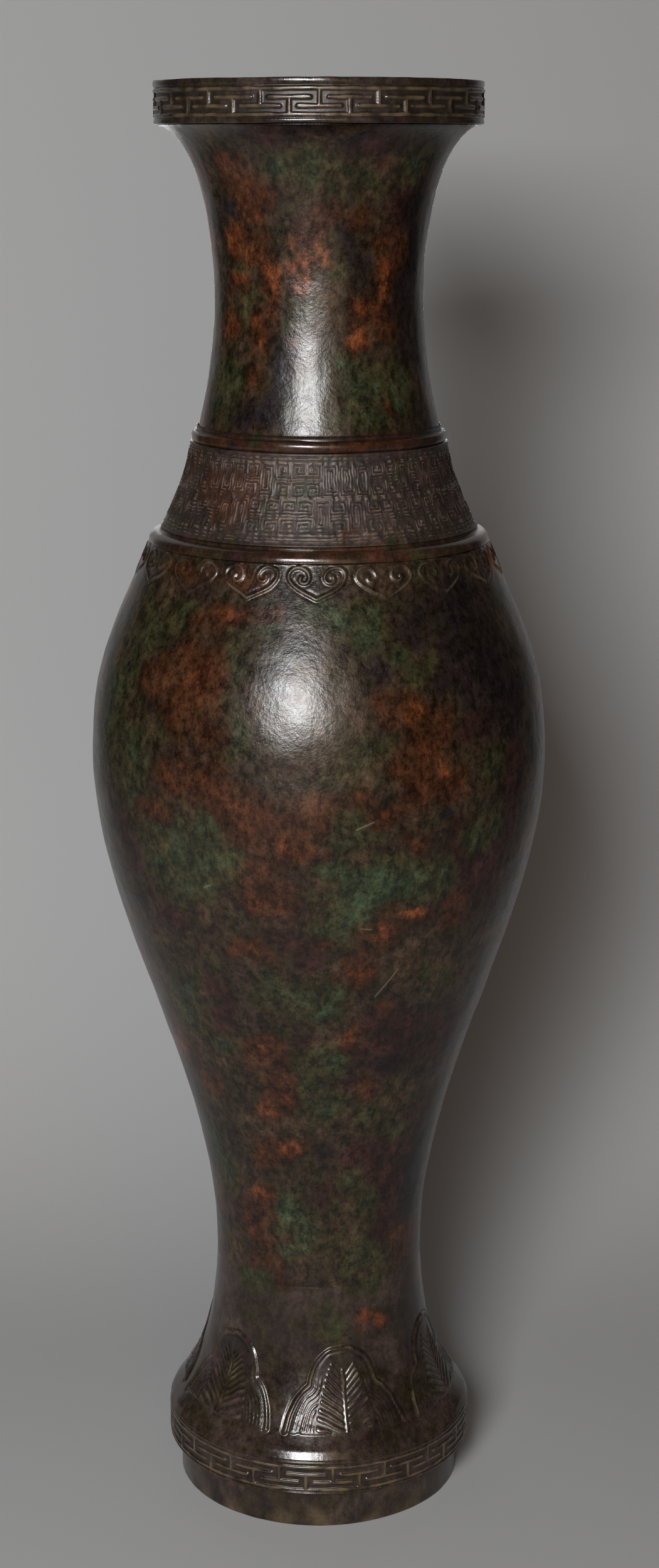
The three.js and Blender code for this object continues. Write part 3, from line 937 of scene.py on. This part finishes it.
def shoulder_ring():
    """The moulded hoop over the seam between collar and body."""
    inner = SHOULDER_SEAT + CLEARANCE
    top = COLLAR_BASE_RADIUS + SHOULDER_LIP
    shelf = COLLAR_BASE - SHOULDER_SHELF
    curve = sweep((BODY_TOP_RADIUS, BODY_TOP + 0.3), (top, shelf), (0, 0.6), (0.7, 0.1), 0.25)
    underside = rounded([
        (inner, BODY_TOP), (BODY_TOP_RADIUS - 0.1, BODY_TOP), (BODY_TOP_RADIUS, BODY_TOP + 0.1),
    ], 0.1)
    crown = rounded([
        (top - 0.2, shelf + 0.15), (top, shelf + 0.3), (top, COLLAR_BASE), (inner, COLLAR_BASE),
        (inner, BODY_TOP + 1),
    ], 0.12)
    section = np.vstack([underside, curve, crown])
    return Wall("shoulder_ring").run(section, 2 * TURN).build("worn_bronze", worn_rings)


def body():
    """The swelling body and its stem, with the ruyi border on the shoulder."""
    stem = SIDE[1:]
    shoulder = sweep((BELLY_RADIUS, BELLY), (BODY_TOP_RADIUS, BODY_TOP), (0, 0.44), (0.63, 0.42), 0.26)
    band = shoulder[shoulder[:, 1] > BODY_TOP - RUYI_BAND]
    under = shoulder[shoulder[:, 1] <= BODY_TOP - RUYI_BAND][1::7]
    outside = np.vstack([stem, under])
    floor = COLLAR_SEAM - COLLAR_SPIGOT - CLEARANCE
    top = rounded([(SHOULDER_SEAT, BODY_TOP)] + socket(SHOULDER_SEAT, COLLAR_SEAM, COLLAR_SPIGOT))
    coarse = np.vstack([stem[::3], shoulder[3::20]])
    within = between(inset(coarse, WALL), WAIST, floor - 0.5)
    lip = [(WAIST_RADIUS - 0.02, WAIST), (WAIST_RADIUS, WAIST + 0.02), (WAIST_RADIUS, WAIST + 0.06)]
    end = np.vstack([rounded(spigot(WAIST_RADIUS, WAIST, BODY_SPIGOT)[:-1]), lip])
    wall = Wall("body").run(outside, 2 * BODY_TURN).run(band, 4 * BODY_TURN, ruyi)
    wall.run(top, BODY_TURN).run(within, BODY_TURN).run(end, BODY_TURN)
    return wall.build("patinated_bronze", patinated)


def foot():
    """The flaring foot, with its lappets and its fret."""
    lower, field, upper = strips(FOOT_RADIUS, FOOT_RING_TOP, FOOT_BAND_TOP, *FOOT_STRIPS)
    roll = rounded([(upper[-1][0], FOOT_BAND_TOP + 0.04), (FOOT_RADIUS, FOOT_BAND_TOP + 0.5),
                    (CHAMFER_RADIUS, CHAMFER_TOP), (ROLL_RADIUS, ROLL_TOP)], 0.7, 0.4)
    flare = sweep((ROLL_RADIUS, ROLL_TOP), (WAIST_RADIUS, WAIST), (0.75, 0.26), (0.11, 0.43), 0.36)[1:-1]
    base = ROLL_TOP + LAPPET_BASE
    leaves = flare[flare[:, 1] < base + LAPPET_BAND]
    above = flare[flare[:, 1] >= base + LAPPET_BAND][::3]
    bore = FOOT_RING_RADIUS - SOCKET_WALL
    lip = [(WAIST_RADIUS, WAIST - 0.06), (WAIST_RADIUS, WAIST - 0.02), (WAIST_RADIUS - 0.02, WAIST)]
    top = np.vstack([lip, rounded(socket(WAIST_RADIUS, WAIST, BODY_SPIGOT)[1:], 0.05)])
    within = between(inset(flare[::8], WALL), ROLL_TOP, WAIST - BODY_SPIGOT - CLEARANCE)
    rest = rounded([(bore, ROLL_TOP - 3), (bore, FOOT_RING_TOP), (lower[0][0] - 0.2, FOOT_RING_TOP)], 0.5)
    ornament = fret(FOOT_FRET_BEARING, FOOT_RING_TOP + FOOT_BORDERS[0], FOOT_BAND_TOP - FOOT_BORDERS[1])
    wall = Wall("foot").run(lower, 2 * TURN).run(field, 8 * TURN, ornament).run(upper, 2 * TURN)
    wall.run(roll, 4 * TURN).run(leaves, 4 * TURN, lappets(base)).run(above, 2 * TURN)
    wall.run(top, TURN).run(within, TURN).run(rest, 2 * TURN)
    return wall.build("fretted_bronze", fretted)


def foot_ring():
    """The plain inset ring that the vase stands on."""
    tongue = FOOT_RING_RADIUS - SOCKET_WALL - CLEARANCE
    inner = FOOT_RING_RADIUS - WALL - CLEARANCE
    top = level("foot_ring", 1)
    middle = 4
    section = rounded([
        (FOOT_RING_RADIUS, middle), (FOOT_RING_RADIUS, FOOT_RING_TOP), (tongue, FOOT_RING_TOP),
        (tongue, top), (inner, top), (inner, 0), (FOOT_RING_RADIUS, 0), (FOOT_RING_RADIUS, middle - 0.5),
    ], 0.5)
    return Wall("foot_ring").run(section, 2 * TURN, rubbed).build("fretted_bronze", fretted)


pieces = [make() for make in (mouth_ring, neck, neck_ring, collar, shoulder_ring, body, foot, foot_ring)]
floor_plate = bpy.data.objects["base_plate"]
floor_plate.data.materials.clear()
floor_plate.data.materials.append(unseen)


def sheet(name, points, faces, span, fade):
    """A pale matt sheet, darker in front and clear from behind, that fades along a span."""
    mesh = bpy.data.meshes.new(name)
    mesh.from_pydata(points, [], faces)
    mesh.shade_smooth()
    thing = bpy.data.objects.new(name, mesh)
    bpy.context.scene.collection.objects.link(thing)
    material = bpy.data.materials.new(name)
    material.use_nodes = True
    g = Graph(material.node_tree)
    where = g.add("ShaderNodeTexCoord").outputs["Object"]
    place = g.add("ShaderNodeSeparateXYZ", {0: where})
    shade = g.step(place.outputs["Y"], FRONT_FULL, FRONT_START, FRONT_SHADE, SHEET_SHADE)
    diffuse = g.add("ShaderNodeBsdfDiffuse", {"Color": g.scale((1, 0.99, 0.985), shade)})
    clear = g.add("ShaderNodeBsdfTransparent")
    away = g.vector("LENGTH", g.vector("MULTIPLY", where, span), output="Value")
    aside = g.step(away, fade, fade * 2)
    behind = g.add("ShaderNodeNewGeometry").outputs["Backfacing"]
    blend = g.add("ShaderNodeMixShader", {0: g.math("MAXIMUM", behind, aside)})
    g.tree.links.new(diffuse.outputs[0], blend.inputs[1])
    g.tree.links.new(clear.outputs[0], blend.inputs[2])
    g.tree.links.new(blend.outputs[0], g.add("ShaderNodeOutputMaterial").inputs["Surface"])
    thing.data.materials.append(material)
    return thing


def stage():
    """A floor, and a backdrop that bends up from it and casts no shadow."""
    edge = FLOOR_REACH
    corners = [(-edge, -edge, 0), (edge, -edge, 0), (edge, edge, 0), (-edge, edge, 0)]
    sheet("floor", corners, [(0, 1, 2, 3)], (1, 1, 0), FLOOR_FADE)
    turn = math.pi / 2 * smooth(0, 1, np.linspace(0, 1, 48))
    bend = np.cumsum(np.stack([np.cos(turn), np.sin(turn)], 1), 0) * BEND / len(turn)
    bend += (WALL_BACK - bend[-1, 0], 0.0002)
    rise = [*bend, (WALL_BACK, BACKDROP_REACH)]
    points = [(x, y, z) for y, z in rise for x in (-BACKDROP_REACH, BACKDROP_REACH)]
    faces = [(2 * k, 2 * k + 1, 2 * k + 3, 2 * k + 2) for k in range(len(rise) - 1)]
    backdrop = sheet("backdrop", points, faces, (1, 0, 0), BACKDROP_FADE)
    backdrop.visible_shadow = False


def room():
    """A faint even light from all round."""
    world = bpy.data.worlds.new("room")
    bpy.context.scene.world = world
    world.use_nodes = True
    g = Graph(world.node_tree)
    back = g.add("ShaderNodeBackground", {"Color": (1, 1, 1, 1), "Strength": 0.02})
    g.tree.links.new(back.outputs[0], g.add("ShaderNodeOutputWorld").inputs["Surface"])


def lamp(name, bearing, elevation, wide, tall, power, colour):
    """A soft lamp at a bearing and an elevation in degrees, which isn't seen itself."""
    a, e = math.radians(bearing), math.radians(elevation)
    panel = bpy.data.lights.new(name, "AREA")
    panel.shape = "RECTANGLE"
    panel.size = wide
    panel.size_y = tall
    panel.energy = power
    panel.color = colour
    light = bpy.data.objects.new(name, panel)
    light.location = (
        LAMP_DISTANCE * math.sin(a) * math.cos(e),
        -LAMP_DISTANCE * math.cos(a) * math.cos(e),
        LAMP_LEVEL + LAMP_DISTANCE * math.sin(e),
    )
    light.rotation_euler = (math.radians(LAMP_TILT), 0, a + math.radians(LAMP_TURN))
    light.visible_camera = False
    bpy.context.scene.collection.objects.link(light)
    return light


def lamps():
    """A soft light in front on the left, a weak warm one beside it, and one behind for the vase alone."""
    lamp("key", -13, 18, 0.46, 0.36, 23, (0.965, 1, 1.03))
    lamp("fill", -3, 9, 1.0, 0.8, 3.2, (1, 0.68, 0.42))
    rear = lamp("rear", 180, 2, 0.6, 0.36, 30, (1, 1, 1))
    lit = bpy.data.collections.new("lit from behind")
    for piece in pieces:
        lit.objects.link(piece)
    rear.light_linking.receiver_collection = lit


def view():
    """The camera, in front of the vase at the height of its neck."""
    scene = bpy.context.scene
    camera = bpy.data.cameras.new("camera")
    camera.sensor_width = 36
    camera.lens = 59.2
    camera.shift_x = 0.0068
    eye = bpy.data.objects.new("camera", camera)
    eye.location = (0, -EYE_DISTANCE, EYE_HEIGHT)
    eye.rotation_euler = (math.radians(90 - EYE_PITCH), 0, 0)
    scene.collection.objects.link(eye)
    scene.camera = eye
    scene.view_settings.view_transform = "Standard"


stage()
room()
lamps()
view()
